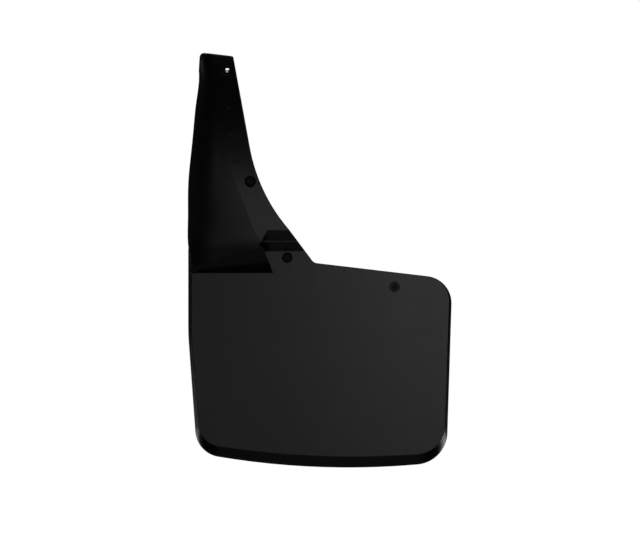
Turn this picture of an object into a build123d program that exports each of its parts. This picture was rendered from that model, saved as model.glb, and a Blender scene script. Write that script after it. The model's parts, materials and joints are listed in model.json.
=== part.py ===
"""Moulded truck mud flap with a wheel-arch arm, left-hand piece.

Frame: +Z up, +X towards the middle of the vehicle, -Y towards the wheel.
The origin is on the axis of the lower fixing screw, in the plane where the moulding's screw
boss is clamped against the vehicle's bracket. All sizes are in millimetres.
"""

from build123d import *
from math import asin, cos, hypot, sin, sqrt
import os

os.makedirs("parts", exist_ok=True)

# ---------------------------------------------------------------- driving dimensions
wall = 3.0  # moulding thickness
crown_y = -8.5  # foremost line of the paddle's front face
crown_x = 36.0  # where that line stands, the middle of the paddle
crown_radius = 2600.0  # the paddle is bowed about a vertical axis
tray_front_y = -9.0  # plane where the rolled rim starts, just ahead of the crown
skirt_back_y = 11.0  # rear edge of the turned-back skirt

left_x = -109.3  # outer edge of the paddle and of the lower arm
left_knee_z = -85.0  # below this height the outer edge leans in
arm_knee_z = 82.0  # about this height the outer edge starts to lean in again
arm_knee_half = 10.0  # half the height over which that lean comes in
arm_lean = 0.106  # sideways lean of the arm's outer edge, per mm of height

shelf_z = -16.8  # lower edge of the arm, where it steps back to the paddle
strip_y = -36.5  # front face of the screw strip, where the strip is vertical
arch_radius = 300.0  # corner radius of the wheel arch, which the strip follows
arch_centre_z = 60.0  # height where that corner starts
dish_depth = 30.0  # how far the side rolls back from the strip to the outer edge
dish_slope = 0.08  # how steeply the side leaves the crease beside the strip
arm_depth = 47.5  # front of the strip to the rear edge of the arm's skirt

arch_top = (-58.5, 219.8)  # upper inner corner of the arm
arch_top_slope = 0.117  # rise of the top edge towards the outer corner, per mm
arch_top_left_x = -130.0  # past the outer corner
arch_knee = (-40.3, 118.7)  # where the arch edge starts to curve
arch_bend = (-23.4, 69.1)  # middle of that curve
top_inner_r = 2.5  # corner radii of the arm's top edge
top_outer_r = 5.0
kink = (2.5, 30.5)  # where the arch edge meets the paddle's short sloping edge
inner_corner = (29.4, -5.6)  # foot of that sloping edge
top_corner = (182.3, -23.6)
bottom_right = (175.9, -224.9)
bottom_mid = (45.0, -231.4)
bottom_left = (-99.7, -215.5)

upper_hole = (-65.2, 204.0)  # x, z of the open screw hole
mid_hole = (-40.5, 83.4)  # x, z of the middle screw
retainer_hole = (118.3, -32.1)  # x, z of the push-in retainer

upper_hole_r = 2.75  # clearance for a 5 mm screw
upper_boss_r = 8.0
upper_boss_depth = 7.1  # front of the strip to the back of the boss
upper_dimple = 0.8  # depth of the flat seat around the open hole

lower_well_r = 5.6
lower_seat_y = -2.5  # the lower screw pulls on this seat
lower_hole_r = 2.75
mid_well_r = 4.7
mid_well_mouth_r = 6.2
mid_seat_depth = 2.2
mid_boss_depth = 6.0
mid_hole_r = 2.25
retainer_seat_r = 5.5
retainer_seat_depth = 1.6
retainer_hole_r = 3.15
retainer_boss_r = 8.6

# x, z, radius of shallow blind seats in the strip
blind_seats = [(-62.5, 167.2, 4.0), (-56.0, 103.8, 2.4), (-61.5, 116.0, 1.7)]
blind_seat_depth = 0.9
slot = (-59.0, 136.0)  # x, z of a short moulded slot in the strip
slot_length = 9.0
slot_width = 3.0
slot_depth = 1.2

arch_edge_r = 1.2  # the front edges of the arm are eased
facet_edge_r = 1.0
pocket_edge_r = 1.0


def strip_front(z):
    """Y of the screw strip's front face at a height: vertical, then round the wheel arch."""
    rise = max(z - arch_centre_z, 0.0)
    return strip_y - arch_radius + sqrt(arch_radius**2 - rise**2)


def paddle_front(x):
    """Y of the bowed paddle's front face."""
    return crown_y + crown_radius - sqrt(crown_radius**2 - (x - crown_x) ** 2)


def strip_plane(x, z, depth=0.0):
    """A plane on the strip, facing the wheel, a given depth below the front face."""
    tilt = asin(max(z - arch_centre_z, 0.0) / arch_radius)
    out = Vector(0, -cos(tilt), -sin(tilt))
    return Plane(origin=Vector(x, strip_front(z), z) - out * depth, x_dir=(1, 0, 0), z_dir=out)


def facing_plane(x, y, z):
    """A plane that faces the wheel squarely."""
    return Plane(origin=(x, y, z), x_dir=(1, 0, 0), z_dir=(0, -1, 0))


def at_height(z):
    """The level plane at a height."""
    return Plane.XY.offset(z)


def at_depth(y):
    """The upright plane across the vehicle at y, with its normal towards the wheel."""
    return Plane.XZ.offset(-y)


# ---------------------------------------------------------------- paddle
def paddle_outline(y, left, bottom, right, top):
    """The paddle's outline in the plane at y, drawn in from its outer edge by four margins."""
    hidden_left = (left_x + left, 10.0)
    hidden_top = (-36.0, 10.0)
    knee = (left_x + left, left_knee_z)
    low_left = (bottom_left[0] + left, bottom_left[1] + bottom)
    low_mid = (bottom_mid[0], bottom_mid[1] + bottom)
    low_right = (bottom_right[0] - right, bottom_right[1] + bottom)
    high_right = (top_corner[0] - right, top_corner[1] - top)
    foot = (inner_corner[0] - top, inner_corner[1] - top)
    peak = (kink[0] - top, kink[1] - top)
    with BuildSketch(at_depth(y)) as outline:
        with BuildLine():
            Polyline(low_right, high_right, foot, peak, (hidden_top[0], peak[1]), hidden_top, hidden_left)
            Polyline(hidden_left, knee, low_left)
            ThreePointArc(low_left, low_mid, low_right)
        make_face()
        rounds = [(low_left, 30 - left), (low_right, 36 - right), (high_right, 30 - right)]
        rounds += [(knee, 250), (foot, 8)]
        for (x, z), radius in rounds:
            corner = outline.vertices().sort_by_distance((x, z, 0))[0]
            fillet(corner, radius=radius)
    return outline.sketch


def paddle_block(inset):
    """The paddle as a solid whose rim rolls outwards from the bowed front face to its rear edge."""
    start_y = tray_front_y + inset
    depth = skirt_back_y - tray_front_y
    # share of the depth, then the margins at the bottom, left and right
    levels = [(0.0, 12.8, 6.0, 4.5), (0.15, 11.2, 4.5, 3.4), (0.45, 7.2, 2.2, 1.6), (1.0, 0.0, 0.0, 0.0)]
    sections = [
        paddle_outline(start_y + share * depth, left + inset, bottom + inset, right + inset, inset)
        for share, bottom, left, right in levels
    ]
    with BuildPart() as block:
        loft(sections=sections)
        with BuildSketch(at_height(-260)):
            with Locations((crown_x, crown_y + inset + crown_radius)):
                Circle(crown_radius)
        extrude(amount=320, mode=Mode.INTERSECT)
    return block.part


# ---------------------------------------------------------------- arm
# height of each section, and x of the crease between the screw strip and the side
arm_sections = [(-30.0, -4.0), (16.0, -27.5), (44.0, -41.5), (70.0, -52.0), (92.0, -60.0), (112.0, -65.5)]
arm_sections += [(140.0, -71.0), (170.0, -75.5), (202.0, -79.5), (234.0, -83.0)]


def arm_left(z):
    """X of the arm's outer edge at a height: upright, then leaning in above a soft knee."""
    start = arm_knee_z - arm_knee_half
    if z < start:
        return left_x
    if z < arm_knee_z + arm_knee_half:
        return left_x + arm_lean * (z - start) ** 2 / (4 * arm_knee_half)
    return left_x + arm_lean * (z - arm_knee_z)


def arm_block(inset, right_x, back):
    """The arm as a solid: flat screw strip, then a side that rolls back to the outer edge."""
    sections = []
    for z, crease_x in arm_sections:
        front = strip_front(z) + inset
        rolled = strip_front(z) + dish_depth
        rear = strip_front(z) + back
        outer_x = arm_left(z) + inset
        half = (crease_x - outer_x) / 2
        with BuildSketch(at_height(z)) as section:
            with BuildLine():
                Line((right_x, front), (crease_x, front))
                Bezier(
                    (crease_x, front),
                    (crease_x - half, front + dish_slope * half),
                    (outer_x, front + 0.42 * dish_depth),
                    (outer_x, rolled),
                )
                Polyline((outer_x, rolled), (outer_x, rear), (right_x, rear), (right_x, front))
            make_face()
        sections.append(section.sketch)
    with BuildPart() as block:
        loft(sections=sections)
    return block.part


def arm_front_view():
    """Front view of the arm, which trims the arch edge and the sloping top with its rounded corners."""
    outer_x = arm_left(arch_top[1]) - 0.3
    outer_corner = (outer_x, arch_top[1] + arch_top_slope * (arch_top[0] - outer_x))
    outer_side = (arm_left(arch_top[1] - 20.0) - 0.3, arch_top[1] - 20.0)
    with BuildSketch(at_depth(60.0)) as view:
        with BuildLine():
            Polyline(
                (inner_corner[0], -40.0),
                (arch_top_left_x, -40.0),
                (arch_top_left_x, outer_side[1]),
                outer_side,
                outer_corner,
                arch_top,
                arch_knee,
            )
            ThreePointArc(arch_knee, arch_bend, kink)
            Polyline(kink, inner_corner, (inner_corner[0], -40.0))
        make_face()
        fillet(view.vertices().sort_by_distance((*outer_corner, 0))[0], top_outer_r)
        fillet(view.vertices().sort_by_distance((*arch_top, 0))[0], top_inner_r)
    return view.sketch


def cavity_front_view():
    """Front view of the hollow: closed above the rolled side, open behind the whole strip."""
    slant = hypot(inner_corner[0] - kink[0], inner_corner[1] - kink[1])
    side = wall * slant / (kink[1] - inner_corner[1])
    strip_x = arch_top[0] - 19.0
    top_left_z = arch_top[1] + arch_top_slope * (arch_top[0] - arch_top_left_x)
    with BuildSketch(at_depth(60.0)) as view:
        with BuildLine():
            Polyline(
                (inner_corner[0] - side, -40.0),
                (arch_top_left_x, -40.0),
                (arch_top_left_x, top_left_z - wall),
                (strip_x, arch_top[1] - wall + 2.2),
                (strip_x, 240.0),
                (60.0, 240.0),
                (60.0, kink[1]),
                (kink[0] - side, kink[1]),
                (inner_corner[0] - side, inner_corner[1]),
                close=True,
            )
        make_face()
    return view.sketch


# The lower end of the arm has a deep triangular pocket under the rolled side, and beside it a
# steep facet from the strip down to the paddle.
pocket_corners = [(-100.6, shelf_z), (-100.0, -9.6), (-33.8, 10.7), (-26.0, 10.7), (-15.8, shelf_z)]
facet_corners = [(-15.8, -45.0), (-15.8, shelf_z), (-26.0, 10.7), (-31.3, 12.0), (-20.6, 31.5)]
facet_corners += [(45.0, 31.5), (45.0, -45.0)]
facet_top_z = 29.5
facet_foot_z = 7.5
facet_step_z = 17.5  # an upright band breaks the facet in two here
facet_step = 1.0
pocket_rim_left = Vector(-100.0, -11.0, -9.6)
pocket_rim_right = Vector(-30.0, -35.0, 10.7)
pocket_low_left = Vector(-100.6, -0.8, shelf_z)
pocket_back_y = 5.2  # the pocket's deepest corner


def pocket_block(grow):
    """What is cut away to make the pocket; grow moves each of its walls outwards."""
    along = pocket_rim_right - pocket_rim_left
    back = along.cross(pocket_low_left - pocket_rim_left).normalized()
    if back.Y < 0:
        back = back * -1
    floor = Plane(origin=pocket_rim_left + back * grow, z_dir=back)
    with BuildPart() as block:
        with BuildSketch(at_depth(pocket_back_y + grow)):
            with BuildLine():
                Polyline(*pocket_corners, close=True)
            make_face()
            if grow:
                offset(amount=grow, kind=Kind.INTERSECTION)
        extrude(amount=100)
        split(bisect_by=floor, keep=Keep.BOTTOM)
    return block.part


def facet_block(grow):
    """What is cut away in front of the paddle beside the pocket, under the strip."""
    slope = (facet_top_z - facet_foot_z - facet_step) / (crown_y - strip_y)
    behind = 8.0
    run = 60.0
    foot_y = crown_y + behind + grow
    foot_z = facet_foot_z - slope * behind + grow
    step_run = behind + (facet_step_z - facet_foot_z) / slope
    with BuildPart() as block:
        with BuildSketch(Plane.YZ.offset(-60.0)):
            with BuildLine():
                Polyline(
                    (foot_y, foot_z),
                    (foot_y - step_run, foot_z + slope * step_run),
                    (foot_y - step_run, foot_z + slope * step_run + facet_step),
                    (foot_y - run, foot_z + slope * run + facet_step),
                    (foot_y - run, -60.0),
                    (foot_y, -60.0),
                    close=True,
                )
            make_face()
        extrude(amount=120)
        with BuildSketch(at_depth(40.0)):
            with BuildLine():
                Polyline(*facet_corners, close=True)
            make_face()
            if grow:
                offset(amount=grow, kind=Kind.INTERSECTION)
        extrude(amount=140, mode=Mode.INTERSECT)
    return block.part


def underside_block():
    """What is kept out of the hollow so that the arm's lower edge is a wall thick."""
    with BuildPart() as block:
        with BuildSketch(at_height(-60.0)):
            with Locations((-40.0, -40.0)):
                Rectangle(200.0, 80.0)
        extrude(amount=60.0 + shelf_z + wall)
    return block.part


# ---------------------------------------------------------------- moulding
tray_solid = paddle_block(0.0)

with BuildPart() as arm_solid:
    add(arm_block(0.0, 20.0, arm_depth))
    extrude(to_extrude=arm_front_view(), amount=200, mode=Mode.INTERSECT)
    split(bisect_by=at_height(shelf_z), keep=Keep.TOP)
    add(facet_block(0.0), mode=Mode.SUBTRACT)

with BuildPart() as hollow:
    add(arm_block(wall, 40.0, arm_depth + 20.0))
    extrude(to_extrude=cavity_front_view(), amount=200, mode=Mode.INTERSECT)
    add(underside_block(), mode=Mode.SUBTRACT)
    add(facet_block(wall), mode=Mode.SUBTRACT)
    add(paddle_block(wall))
    add(pocket_block(wall), mode=Mode.SUBTRACT)

# Ribs across the back of the paddle, and webs across the hollow of the arm.
rib = 2.0
rib_back_y = -2.0
rib_columns = [-45.0, 15.0, 75.0, 135.0]
rib_rows = [-75.0, -130.0, -185.0]
cross_rib_z = -20.0  # a taller rib closes the paddle's hollow off from the arm's
cross_rib_back_y = 8.0
with BuildPart() as ribs:
    with BuildSketch(at_depth(rib_back_y)):
        for x in rib_columns:
            with Locations((x, -125.0)):
                Rectangle(rib, 196.0)
        for z in rib_rows:
            with Locations((crown_x, z)):
                Rectangle(280.0, rib)
    extrude(amount=20)
    with BuildSketch(at_depth(cross_rib_back_y)):
        with Locations((-36.0, cross_rib_z)):
            Rectangle(140.0, rib)
    extrude(amount=20)
    add(tray_solid, mode=Mode.INTERSECT)

web_heights = [40.0, 112.0, 152.0, 186.0]
with BuildPart() as webs:
    for z in web_heights:
        crease_x = -38.0 - 0.21 * z
        web_back = strip_front(z) + dish_depth + 6.0
        with BuildSketch(at_height(z)):
            with Locations(((crease_x + left_x) / 2, web_back - 30.0)):
                Rectangle(crease_x - left_x, 60.0)
        extrude(amount=rib)
    add(arm_solid.part, mode=Mode.INTERSECT)

# a point on each eased edge, and the radius
arch_mid_x = (arch_top[0] + arch_knee[0]) / 2
arch_mid_z = (arch_top[1] + arch_knee[1]) / 2
arch_points = [(arch_mid_x, strip_front(arch_mid_z), arch_mid_z)]
arch_points += [(arch_bend[0], strip_front(arch_bend[1]), arch_bend[1])]
facet_point = ((facet_corners[4][0] + kink[0]) / 2, strip_y, facet_top_z)
pocket_point = (-69.1, -27.1, -0.1)
eased_edges = [(arch_points, arch_edge_r), ([facet_point], facet_edge_r), ([pocket_point], pocket_edge_r)]

with BuildPart() as flap_moulding:
    add(tray_solid)
    add(arm_solid.part)
    add(pocket_block(0.0), mode=Mode.SUBTRACT)
    add(hollow.part, mode=Mode.SUBTRACT)
    add(ribs.part)
    add(webs.part)

    # bosses
    with BuildSketch(at_depth(0.0)):
        Circle(lower_well_r + wall)
    extrude(amount=-crown_y - 0.6)
    with BuildSketch(strip_plane(*mid_hole, depth=mid_boss_depth)):
        Circle(mid_well_mouth_r + 1.5)
    extrude(amount=mid_boss_depth - 1.0)
    with BuildSketch(strip_plane(*upper_hole, depth=upper_boss_depth)):
        Circle(upper_boss_r)
    extrude(amount=upper_boss_depth - 1.0)
    retainer_front = paddle_front(retainer_hole[0])
    retainer_seat_y = retainer_front + retainer_seat_depth
    retainer_back_y = retainer_seat_y + wall
    with BuildSketch(at_depth(retainer_back_y)):
        with Locations(retainer_hole):
            Circle(retainer_boss_r)
    extrude(amount=4.0)

    # wells and holes
    with BuildSketch(at_depth(lower_seat_y)):
        Circle(lower_well_r)
    extrude(amount=20, mode=Mode.SUBTRACT)
    with BuildSketch(at_depth(1.0)):
        Circle(lower_hole_r)
    extrude(amount=20, mode=Mode.SUBTRACT)
    with BuildSketch(strip_plane(*mid_hole, depth=mid_seat_depth)):
        Circle(mid_well_r)
    with BuildSketch(strip_plane(*mid_hole, depth=-0.2)):
        Circle(mid_well_mouth_r)
    loft(mode=Mode.SUBTRACT)
    with BuildSketch(strip_plane(*mid_hole, depth=mid_boss_depth + 1.0)):
        Circle(mid_hole_r)
    extrude(amount=10, mode=Mode.SUBTRACT)
    with BuildSketch(strip_plane(*upper_hole, depth=upper_dimple)):
        Circle(upper_hole_r + 3.0)
    extrude(amount=5, mode=Mode.SUBTRACT)
    with BuildSketch(strip_plane(*upper_hole, depth=upper_boss_depth + 1.0)):
        Circle(upper_hole_r)
    extrude(amount=10, mode=Mode.SUBTRACT)
    with BuildSketch(at_depth(retainer_seat_y)):
        with Locations(retainer_hole):
            Circle(retainer_seat_r)
    extrude(amount=5, mode=Mode.SUBTRACT)
    with BuildSketch(at_depth(retainer_back_y + 1.0)):
        with Locations(retainer_hole):
            Circle(retainer_hole_r)
    extrude(amount=10, mode=Mode.SUBTRACT)

    # shallow blind seats and a slot in the strip
    for x, z, radius in blind_seats:
        with BuildSketch(strip_plane(x, z, depth=blind_seat_depth)):
            Circle(radius)
        extrude(amount=4, mode=Mode.SUBTRACT)
    with BuildSketch(strip_plane(*slot, depth=slot_depth)):
        SlotOverall(slot_length, slot_width)
    extrude(amount=4, mode=Mode.SUBTRACT)

    # eased front edges: the arch edge, the top of the facet, the rim of the pocket
    for points, radius in eased_edges:
        edges = [flap_moulding.edges().sort_by_distance(point)[0] for point in points]
        fillet(edges, radius)


# ---------------------------------------------------------------- fasteners
def pan_screw(seat, shank_r, length, head_r, head_height, drive_r):
    """A pan-head screw whose head stands on the seat plane, with a six-lobed drive."""
    with BuildPart() as screw:
        with BuildSketch(seat):
            Circle(head_r)
        extrude(amount=head_height)
        fillet(screw.faces().sort_by(Axis(seat.origin, seat.z_dir))[-1].edges(), head_height * 0.45)
        with BuildSketch(seat.offset(head_height)):
            Circle(drive_r * 0.82)
            with PolarLocations(drive_r * 0.82, 6):
                Circle(drive_r * 0.26)
        extrude(amount=-head_height * 0.55, mode=Mode.SUBTRACT)
        with BuildSketch(seat):
            Circle(shank_r)
        extrude(amount=-(length - shank_r))
        with BuildSketch(seat.offset(-(length - shank_r))):
            Circle(shank_r)
        with BuildSketch(seat.offset(-length)):
            Circle(shank_r * 0.55)
        loft()
    return screw.part


def flat_washer(seat, outer_r, inner_r, thickness):
    """A flat washer lying on the seat plane."""
    with BuildPart() as washer:
        with BuildSketch(seat):
            Circle(outer_r)
            Circle(inner_r, mode=Mode.SUBTRACT)
        extrude(amount=thickness)
    return washer.part


def clip_nut(clamp, shank_r, width, leaf, gap, barrel_depth):
    """A spring-steel U nut: two leaves joined by a bend, with a threaded barrel on the far leaf."""
    sheet = 0.8
    outer_r = gap / 2 + sheet
    inner_r = gap / 2
    bend_x = leaf * 0.3
    open_x = bend_x - leaf
    side = Plane(origin=clamp.origin, x_dir=clamp.x_dir, z_dir=clamp.y_dir * -1)
    with BuildPart() as nut:
        with BuildSketch(side):
            with BuildLine():
                Polyline((bend_x, -sheet), (open_x, -sheet), (open_x, 0.0), (bend_x, 0.0))
                ThreePointArc((bend_x, 0.0), (bend_x + outer_r, -outer_r), (bend_x, -2 * outer_r))
                Polyline(
                    (bend_x, -2 * outer_r),
                    (open_x, -2 * outer_r),
                    (open_x - 3.0, -2 * outer_r - 1.6),
                    (open_x - 3.0, -2 * outer_r - 1.6 + sheet),
                    (open_x, -2 * outer_r + sheet),
                    (bend_x, -2 * outer_r + sheet),
                )
                ThreePointArc((bend_x, -2 * outer_r + sheet), (bend_x + inner_r, -outer_r), (bend_x, -sheet))
            make_face()
        extrude(amount=width / 2, both=True)
        with BuildSketch(clamp.offset(-2 * outer_r)):
            Circle(shank_r + 1.6)
        extrude(amount=-barrel_depth)
        with BuildSketch(clamp.offset(1.0)):
            Circle(shank_r + 0.05)
        extrude(amount=-(2 * outer_r + barrel_depth + 2.0), mode=Mode.SUBTRACT)
        with BuildSketch(clamp.offset(1.0)):
            Circle(shank_r + 0.8)
        extrude(amount=-(sheet + 1.5), mode=Mode.SUBTRACT)
    return nut.part


washer = 0.8  # thickness of both washers
sheet_gap = 2.4  # the U nuts take vehicle sheet up to 2 mm thick
lower_seat = facing_plane(0.0, lower_seat_y, 0.0)
lower_clamp = facing_plane(0.0, 0.0, 0.0)
mid_seat = strip_plane(*mid_hole, depth=mid_seat_depth)
mid_clamp = strip_plane(*mid_hole, depth=mid_boss_depth)

# the lower screw is an M5, the middle one an M4
lower_washer = flat_washer(lower_seat, outer_r=5.2, inner_r=2.7, thickness=washer)
lower_screw = pan_screw(
    lower_seat.offset(washer), shank_r=2.5, length=15.5, head_r=4.6, head_height=2.6, drive_r=2.2
)
lower_clip_nut = clip_nut(lower_clamp, shank_r=2.5, width=13.0, leaf=18.0, gap=sheet_gap, barrel_depth=4.5)

mid_washer = flat_washer(mid_seat, outer_r=4.5, inner_r=2.2, thickness=washer)
mid_screw = pan_screw(
    mid_seat.offset(washer), shank_r=2.0, length=14.0, head_r=3.9, head_height=2.9, drive_r=1.9
)
mid_clip_nut = clip_nut(mid_clamp, shank_r=2.0, width=11.0, leaf=16.0, gap=sheet_gap, barrel_depth=4.0)


# ---------------------------------------------------------------- push-in retainer
flange_r = 4.7
flange = 1.4
sleeve_r = 3.0
sleeve_length = 13.0
pin_r = 1.5
pin_bore_r = 1.56
pin_head_r = 2.8
pin_head = 1.1
pin_recess = 0.9
pin_dimple_r = 2.0  # mouth of the dimple in the pin's head
pin_dimple_floor_r = 0.7
pin_dimple = 0.8
pin_length = 12.0
retainer_seat = facing_plane(retainer_hole[0], retainer_seat_y, retainer_hole[1])

with BuildPart() as retainer_body:
    with BuildSketch(retainer_seat):
        Circle(flange_r)
    extrude(amount=flange)
    fillet(retainer_body.faces().sort_by(Axis.Y)[0].edges(), 0.5)
    with BuildSketch(retainer_seat):
        Circle(sleeve_r)
    extrude(amount=-sleeve_length)
    # barb that grips behind the vehicle's sheet
    with BuildSketch(retainer_seat.offset(-wall - 3.0)):
        Circle(sleeve_r + 0.7)
    with BuildSketch(retainer_seat.offset(-sleeve_length)):
        Circle(sleeve_r - 0.6)
    loft()
    with BuildSketch(retainer_seat.offset(flange - pin_recess)):
        Circle(pin_head_r + 0.1)
    extrude(amount=pin_recess + 0.5, mode=Mode.SUBTRACT)
    with BuildSketch(retainer_seat.offset(flange)):
        Circle(pin_bore_r)
    extrude(amount=-(sleeve_length + flange + 1.0), mode=Mode.SUBTRACT)
    # slots that let the sleeve spread
    with BuildSketch(retainer_seat.offset(-wall - 1.0)):
        Rectangle(0.9, 10.0)
        Rectangle(10.0, 0.9)
    extrude(amount=-sleeve_length, mode=Mode.SUBTRACT)

pin_top = retainer_seat.offset(flange - pin_recess + pin_head)
with BuildPart() as retainer_pin:
    with BuildSketch(retainer_seat.offset(flange - pin_recess)):
        Circle(pin_head_r)
    extrude(amount=pin_head)
    fillet(retainer_pin.faces().sort_by(Axis.Y)[0].edges(), 0.35)
    with BuildSketch(retainer_seat.offset(flange - pin_recess)):
        Circle(pin_r)
    extrude(amount=-pin_length)
    chamfer(retainer_pin.faces().sort_by(Axis.Y)[-1].edges(), 0.5)
    with BuildSketch(pin_top):
        Circle(pin_dimple_r)
    with BuildSketch(pin_top.offset(-pin_dimple)):
        Circle(pin_dimple_floor_r)
    loft(mode=Mode.SUBTRACT)


# ---------------------------------------------------------------- foam strips
foam = 2.0
glue = 0.1  # the adhesive layer between foam and moulding
foam_front_y = strip_y + wall + glue

with BuildPart() as lower_foam_strip:
    with BuildSketch(at_depth(foam_front_y + foam)):
        with BuildLine():
            Polyline((-21.0, 36.0), (-34.0, 36.0), (-40.7, 56.0), (-28.5, 56.0), close=True)
        make_face()
    extrude(amount=foam)

with BuildPart() as upper_foam_strip:
    with BuildSketch(Plane.YZ.offset(-100.0)):
        with Locations((strip_y - arch_radius, arch_centre_z)):
            Circle(arch_radius + wall + glue + foam)
            Circle(arch_radius + wall + glue, mode=Mode.SUBTRACT)
    extrude(amount=100)
    with BuildSketch(at_depth(0.0)):
        with BuildLine():
            Polyline((-46.0, 104.0), (-58.0, 104.0), (-71.0, 190.0), (-59.0, 190.0), close=True)
        make_face()
    extrude(amount=100, mode=Mode.INTERSECT)


pieces = {
    "flap_moulding": flap_moulding.part,
    "lower_washer": lower_washer,
    "lower_screw": lower_screw,
    "lower_clip_nut": lower_clip_nut,
    "mid_washer": mid_washer,
    "mid_screw": mid_screw,
    "mid_clip_nut": mid_clip_nut,
    "retainer_body": retainer_body.part,
    "retainer_pin": retainer_pin.part,
    "lower_foam_strip": lower_foam_strip.part,
    "upper_foam_strip": upper_foam_strip.part,
}
for name, piece in pieces.items():
    piece.label = name
    export_step(piece, f"parts/{name}.step")
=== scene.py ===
"""Looks of the mud flap: moulded plastic, fasteners, foam, and a plain pale studio."""

import json
from math import cos, radians, sin

import bmesh
import bpy
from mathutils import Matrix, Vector


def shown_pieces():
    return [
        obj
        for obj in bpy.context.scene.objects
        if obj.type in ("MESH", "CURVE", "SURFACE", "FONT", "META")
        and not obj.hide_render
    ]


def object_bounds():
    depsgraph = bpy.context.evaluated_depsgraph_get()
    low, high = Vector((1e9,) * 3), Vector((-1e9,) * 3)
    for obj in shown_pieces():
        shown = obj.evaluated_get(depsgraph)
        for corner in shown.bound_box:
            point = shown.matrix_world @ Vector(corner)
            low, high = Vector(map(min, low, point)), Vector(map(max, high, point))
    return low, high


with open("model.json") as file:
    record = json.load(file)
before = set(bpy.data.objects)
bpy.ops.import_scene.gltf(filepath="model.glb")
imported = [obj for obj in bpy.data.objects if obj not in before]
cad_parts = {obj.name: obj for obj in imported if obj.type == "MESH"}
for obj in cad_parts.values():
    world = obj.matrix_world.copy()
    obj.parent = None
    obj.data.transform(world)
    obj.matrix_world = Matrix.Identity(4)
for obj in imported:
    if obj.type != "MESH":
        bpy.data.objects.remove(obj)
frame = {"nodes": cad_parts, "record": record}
cad_low, cad_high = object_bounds()

# ---------------------------------------------------------------- camera and studio, in metres
CAMERA_DISTANCE = 8.0
VIEW_WIDTH = 0.7055
VIEW_CENTRE = Vector((0.0362, 0.0, -0.0103))
SENSOR_MM = 36.0
FLOOR_DROP = 0.80
FLOOR_RADIUS = 12.0
FLOOR_LIGHT = 2.8
FLOOR_LIGHT_ANGLE = 40
AMBIENT = 0.0005
LIGHT_TARGET = Vector((0.03, 0.0, -0.05))
FRONT_DISTANCE = 2.8
BELOW_DISTANCE = 2.5
BACK_DISTANCE = 2.6


# ---------------------------------------------------------------- node helpers
def new_material(name):
    """A material with a Principled shader; returns the material and that shader."""
    material = bpy.data.materials.new(name)
    material.use_nodes = True
    return material, material.node_tree.nodes["Principled BSDF"]


def add_node(material, kind, **values):
    """A node of that kind, with its input values or properties set."""
    node = material.node_tree.nodes.new(kind)
    for key, value in values.items():
        if key in node.inputs:
            node.inputs[key].default_value = value
        else:
            setattr(node, key, value)
    return node


def join(material, source, target):
    """Links an output socket to an input socket."""
    material.node_tree.links.new(source, target)


def ramp(material, factor, stops):
    """A colour ramp over a factor, from (position, grey or colour) stops."""
    node = add_node(material, "ShaderNodeValToRGB")
    elements = node.color_ramp.elements
    while len(elements) < len(stops):
        elements.new(0.5)
    for element, (position, colour) in zip(elements, stops):
        element.position = position
        element.color = (colour, colour, colour, 1) if isinstance(colour, float) else (*colour, 1)
    join(material, factor, node.inputs["Fac"])
    return node.outputs["Color"]


def noise(material, scale, detail=4.0, stretch=(1.0, 1.0, 1.0)):
    """Noise in object space: scale is in features per metre, stretch multiplies it along each axis."""
    place = add_node(material, "ShaderNodeTexCoord")
    mapping = add_node(material, "ShaderNodeMapping", Scale=stretch)
    node = add_node(material, "ShaderNodeTexNoise", Scale=scale, Detail=detail)
    join(material, place.outputs["Object"], mapping.inputs["Vector"])
    join(material, mapping.outputs["Vector"], node.inputs["Vector"])
    return node.outputs["Fac"]


def combine(material, operation, first, second):
    """A Math node over two sockets, or a socket and a number."""
    node = add_node(material, "ShaderNodeMath", operation=operation)
    for slot, value in zip(node.inputs, (first, second)):
        if isinstance(value, float):
            slot.default_value = value
        else:
            join(material, value, slot)
    return node.outputs["Value"]


def rounded_normal(material, radius):
    """The normal with every edge rounded by a radius."""
    return add_node(material, "ShaderNodeBevel", samples=6, Radius=radius).outputs["Normal"]


def edge_mask(material, rounded):
    """One near an edge, zero on open surfaces, from how far rounding has turned the normal."""
    flat = add_node(material, "ShaderNodeNewGeometry")
    dot = add_node(material, "ShaderNodeVectorMath", operation="DOT_PRODUCT")
    join(material, rounded, dot.inputs[0])
    join(material, flat.outputs["Normal"], dot.inputs[1])
    return ramp(material, dot.outputs["Value"], [(0.90, 1.0), (0.995, 0.0)])


def bump(material, height, distance, strength, under=None):
    """A bump over a height field, on top of another normal if one is given."""
    node = add_node(material, "ShaderNodeBump", Distance=distance, Strength=strength)
    join(material, height, node.inputs["Height"])
    if under:
        join(material, under, node.inputs["Normal"])
    return node.outputs["Normal"]


def blend_colours(material, mask, base, worn):
    """One colour where the mask is zero and another where it is one; each is a socket or a colour."""
    node = add_node(material, "ShaderNodeMix", data_type="RGBA")
    join(material, mask, node.inputs["Factor"])
    for slot, value in ((node.inputs[6], base), (node.inputs[7], worn)):
        if isinstance(value, tuple):
            slot.default_value = (*value, 1)
        else:
            join(material, value, slot)
    return node.outputs[2]


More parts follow.
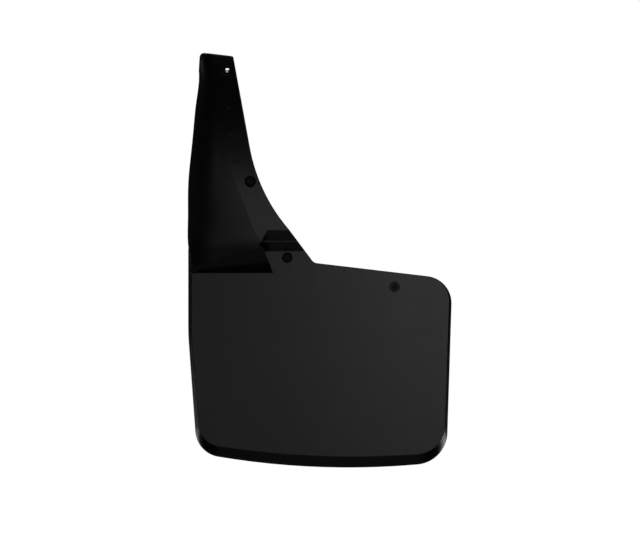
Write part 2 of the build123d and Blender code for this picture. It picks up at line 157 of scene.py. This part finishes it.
# ---------------------------------------------------------------- materials
def moulded_plastic():
    """Black thermoplastic: a fine moulded grain, faint flow clouds, and edges scuffed a little paler."""
    material, shader = new_material("moulded_plastic")
    rounded = rounded_normal(material, 0.0009)
    clouds = noise(material, 14.0, detail=3.0)
    scuffs = ramp(material, noise(material, 420.0, detail=6.0), [(0.45, 0.0), (0.62, 1.0)])
    wear = combine(material, "MULTIPLY", edge_mask(material, rounded), scuffs)
    body = ramp(material, clouds, [(0.35, (0.0075, 0.0075, 0.0078)), (0.65, (0.0095, 0.0095, 0.0100))])
    colour = blend_colours(material, wear, body, (0.030, 0.030, 0.031))
    join(material, colour, shader.inputs["Base Color"])
    smooth = ramp(material, noise(material, 55.0), [(0.3, 0.315), (0.7, 0.330)])
    roughness = blend_colours(material, wear, smooth, (0.50, 0.50, 0.50))
    join(material, roughness, shader.inputs["Roughness"])
    grain = bump(material, noise(material, 1400.0, detail=2.0), 0.00004, 0.6, under=rounded)
    join(material, grain, shader.inputs["Normal"])
    return material


def black_screw():
    """Black-coated steel: matt, with the coating rubbed thin on the rims and in the drive."""
    material, shader = new_material("black_screw")
    rounded = rounded_normal(material, 0.0003)
    spots = ramp(material, noise(material, 900.0, detail=5.0), [(0.42, 0.0), (0.60, 1.0)])
    wear = combine(material, "MULTIPLY", edge_mask(material, rounded), spots)
    mottle = noise(material, 300.0)
    coat = ramp(material, mottle, [(0.3, (0.004, 0.004, 0.0045)), (0.7, (0.010, 0.010, 0.011))])
    colour = blend_colours(material, wear, coat, (0.10, 0.098, 0.095))
    join(material, colour, shader.inputs["Base Color"])
    metal = combine(material, "MULTIPLY", wear, 0.7)
    join(material, metal, shader.inputs["Metallic"])
    shader.inputs["Specular IOR Level"].default_value = 0.22
    roughness = ramp(material, noise(material, 500.0), [(0.3, 0.50), (0.7, 0.62)])
    join(material, roughness, shader.inputs["Roughness"])
    skin = bump(material, noise(material, 2600.0, detail=3.0), 0.00003, 0.7, under=rounded)
    join(material, skin, shader.inputs["Normal"])
    return material


def spring_steel():
    """Phosphated spring steel: dark grey, with the marks of the rolling and paler rubbed edges."""
    material, shader = new_material("spring_steel")
    shader.inputs["Metallic"].default_value = 1.0
    rounded = rounded_normal(material, 0.00025)
    rolling = noise(material, 160.0, detail=6.0, stretch=(1.0, 1.0, 14.0))
    mottle = noise(material, 350.0, detail=5.0)
    finish = combine(material, "MULTIPLY", rolling, mottle)
    coat = ramp(material, finish, [(0.15, (0.16, 0.155, 0.145)), (0.38, (0.30, 0.29, 0.275))])
    wear = edge_mask(material, rounded)
    colour = blend_colours(material, wear, coat, (0.48, 0.47, 0.45))
    join(material, colour, shader.inputs["Base Color"])
    roughness = ramp(material, mottle, [(0.3, 0.34), (0.7, 0.52)])
    join(material, roughness, shader.inputs["Roughness"])
    marks = bump(material, finish, 0.00003, 0.6, under=rounded)
    join(material, marks, shader.inputs["Normal"])
    return material


def retainer_plastic():
    """Black nylon, duller than the moulding, with a faint mottle."""
    material, shader = new_material("retainer_plastic")
    rounded = rounded_normal(material, 0.0003)
    mottle = noise(material, 260.0)
    colour = ramp(material, mottle, [(0.3, (0.006, 0.006, 0.006)), (0.7, (0.011, 0.011, 0.011))])
    join(material, colour, shader.inputs["Base Color"])
    roughness = ramp(material, mottle, [(0.3, 0.46), (0.7, 0.56)])
    join(material, roughness, shader.inputs["Roughness"])
    skin = bump(material, noise(material, 1800.0, detail=3.0), 0.00004, 0.6, under=rounded)
    join(material, skin, shader.inputs["Normal"])
    return material


def foam():
    """Closed-cell foam: small rounded cells, with painted shade darkening each cell towards the bottom
    of its pit.
    """
    material, shader = new_material("foam")
    place = add_node(material, "ShaderNodeTexCoord")
    cells = add_node(material, "ShaderNodeTexVoronoi", Scale=1100.0)
    join(material, place.outputs["Object"], cells.inputs["Vector"])
    depth = cells.outputs["Distance"]
    # painted shade: the colour darkens towards each cell's centre, where the bump dips into a pit
    colour = ramp(material, depth, [(0.1, (0.018, 0.018, 0.019)), (0.7, (0.050, 0.050, 0.052))])
    join(material, colour, shader.inputs["Base Color"])
    shader.inputs["Roughness"].default_value = 0.92
    surface = bump(material, depth, 0.00030, 0.9, under=rounded_normal(material, 0.0006))
    join(material, surface, shader.inputs["Normal"])
    return material


makers = {
    "moulded_plastic": moulded_plastic,
    "black_screw": black_screw,
    "spring_steel": spring_steel,
    "retainer_plastic": retainer_plastic,
    "foam": foam,
}
materials = {name: make() for name, make in makers.items()}
for subpart in frame["record"]["subparts"]:
    node = frame["nodes"][subpart["node"]]
    node.data.materials.clear()
    node.data.materials.append(materials[subpart["material_slot"]])


# ---------------------------------------------------------------- studio
def collection_of(name, things):
    """A collection that tells a light what it shines on."""
    group = bpy.data.collections.new(name)
    for thing in things:
        group.objects.link(thing)
    return group


def add_lamp(name, kind, power, receivers):
    """A lamp that lights only the given collection; returns its object."""
    data = bpy.data.lights.new(name, kind)
    data.energy = power
    lamp = bpy.data.objects.new(name, data)
    bpy.context.scene.collection.objects.link(lamp)
    lamp.light_linking.receiver_collection = receivers
    return lamp


def softbox(name, azimuth, elevation, distance, size, power):
    """A rectangular light on the flap, placed by its compass angle from the front and its height."""
    a, e = radians(azimuth), radians(elevation)
    out = Vector((sin(a) * cos(e), -cos(a) * cos(e), sin(e)))
    lamp = add_lamp(name, "AREA", power, lit)
    lamp.data.shape = "RECTANGLE"
    lamp.data.size, lamp.data.size_y = size
    lamp.location = LIGHT_TARGET + out * distance
    lamp.rotation_euler = (-out).to_track_quat("-Z", "Y").to_euler()


def make_floor():
    """A round pale floor well below the flap, which throws no light back onto it."""
    mesh = bpy.data.meshes.new("studio_floor")
    disc = bmesh.new()
    bmesh.ops.create_circle(disc, cap_ends=True, segments=96, radius=FLOOR_RADIUS)
    disc.to_mesh(mesh)
    disc.free()
    floor = bpy.data.objects.new("studio_floor", mesh)
    bpy.context.scene.collection.objects.link(floor)
    floor.location = (VIEW_CENTRE.x, 0.0, cad_low.z - FLOOR_DROP)
    floor.visible_diffuse = False
    floor.visible_glossy = False
    material, shader = new_material("studio_floor")
    shade = ramp(material, noise(material, 2.0), [(0.3, 0.84), (0.7, 0.86)])
    join(material, shade, shader.inputs["Base Color"])
    shader.inputs["Roughness"].default_value = 0.9
    mesh.materials.append(material)
    return floor


def make_world(ambient):
    """White to the camera, a dim even light to the flap."""
    world = bpy.data.worlds.new("studio")
    world.use_nodes = True
    nodes = world.node_tree.nodes
    links = world.node_tree.links
    nodes.clear()
    path = nodes.new("ShaderNodeLightPath")
    seen = nodes.new("ShaderNodeBackground")
    seen.inputs["Color"].default_value = (1, 1, 1, 1)
    light = nodes.new("ShaderNodeBackground")
    light.inputs["Color"].default_value = (1, 1, 1, 1)
    light.inputs["Strength"].default_value = ambient
    mix = nodes.new("ShaderNodeMixShader")
    out = nodes.new("ShaderNodeOutputWorld")
    links.new(path.outputs["Is Camera Ray"], mix.inputs["Fac"])
    links.new(light.outputs["Background"], mix.inputs[1])
    links.new(seen.outputs["Background"], mix.inputs[2])
    links.new(mix.outputs["Shader"], out.inputs["Surface"])
    bpy.context.scene.world = world


def make_camera():
    """A long lens straight in front of the flap."""
    lens = bpy.data.cameras.new("camera")
    lens.sensor_width = SENSOR_MM
    lens.lens = SENSOR_MM * CAMERA_DISTANCE / VIEW_WIDTH
    lens.clip_end = 100.0
    camera = bpy.data.objects.new("camera", lens)
    bpy.context.scene.collection.objects.link(camera)
    camera.location = VIEW_CENTRE - Vector((0.0, CAMERA_DISTANCE, 0.0))
    camera.rotation_euler = (radians(90), 0.0, 0.0)
    bpy.context.scene.camera = camera


lit = collection_of("lit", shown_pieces())
floor = make_floor()
floor_light = add_lamp("floor_light", "SUN", FLOOR_LIGHT, collection_of("floor_only", [floor]))
floor_light.data.angle = radians(FLOOR_LIGHT_ANGLE)
make_world(AMBIENT)
make_camera()
bpy.context.scene.view_settings.view_transform = "Standard"

# in front: a card beside the camera, dim fills on both sides of it, and a bounce from below
softbox("card", 10, 7, FRONT_DISTANCE, (0.7, 1.0), 4.2)
softbox("card_right", 20, -2, FRONT_DISTANCE, (0.5, 0.5), 0.60)
softbox("front", -5, 3, FRONT_DISTANCE, (0.7, 0.8), 0.60)
softbox("left_level", -14, -7, FRONT_DISTANCE, (0.7, 0.4), 0.66)
softbox("left_far", -27, 3, FRONT_DISTANCE, (0.6, 0.5), 0.38)
softbox("bounce", 0, -80, BELOW_DISTANCE, (1.4, 1.4), 2.2)
# at the sides, above or below eye level: the flap's front mirrors them only to the other views
softbox("side_left", -32, -14, FRONT_DISTANCE, (0.7, 0.4), 0.45)
softbox("side_right", 42, -15, FRONT_DISTANCE, (1.0, 0.7), 2.6)
softbox("far_left", -95, 36, FRONT_DISTANCE, (1.6, 0.55), 14.0)
softbox("far_right", 92, -19, FRONT_DISTANCE, (1.6, 0.55), 5.0)
# behind, for the back of the flap
softbox("back_right", 130, -19, BACK_DISTANCE, (1.5, 0.55), 3.6)
softbox("back_mid_right", 160, -19, BACK_DISTANCE, (1.5, 0.55), 3.0)
softbox("back_mid_left", 195, -19, BACK_DISTANCE, (1.5, 0.55), 3.0)
softbox("back_left", 215, -14, BACK_DISTANCE, (1.1, 0.5), 1.8)
softbox("back_low", 180, -64, BACK_DISTANCE, (1.4, 0.6), 0.18)
softbox("back_high", 180, 50, BACK_DISTANCE, (1.8, 1.2), 24.0)
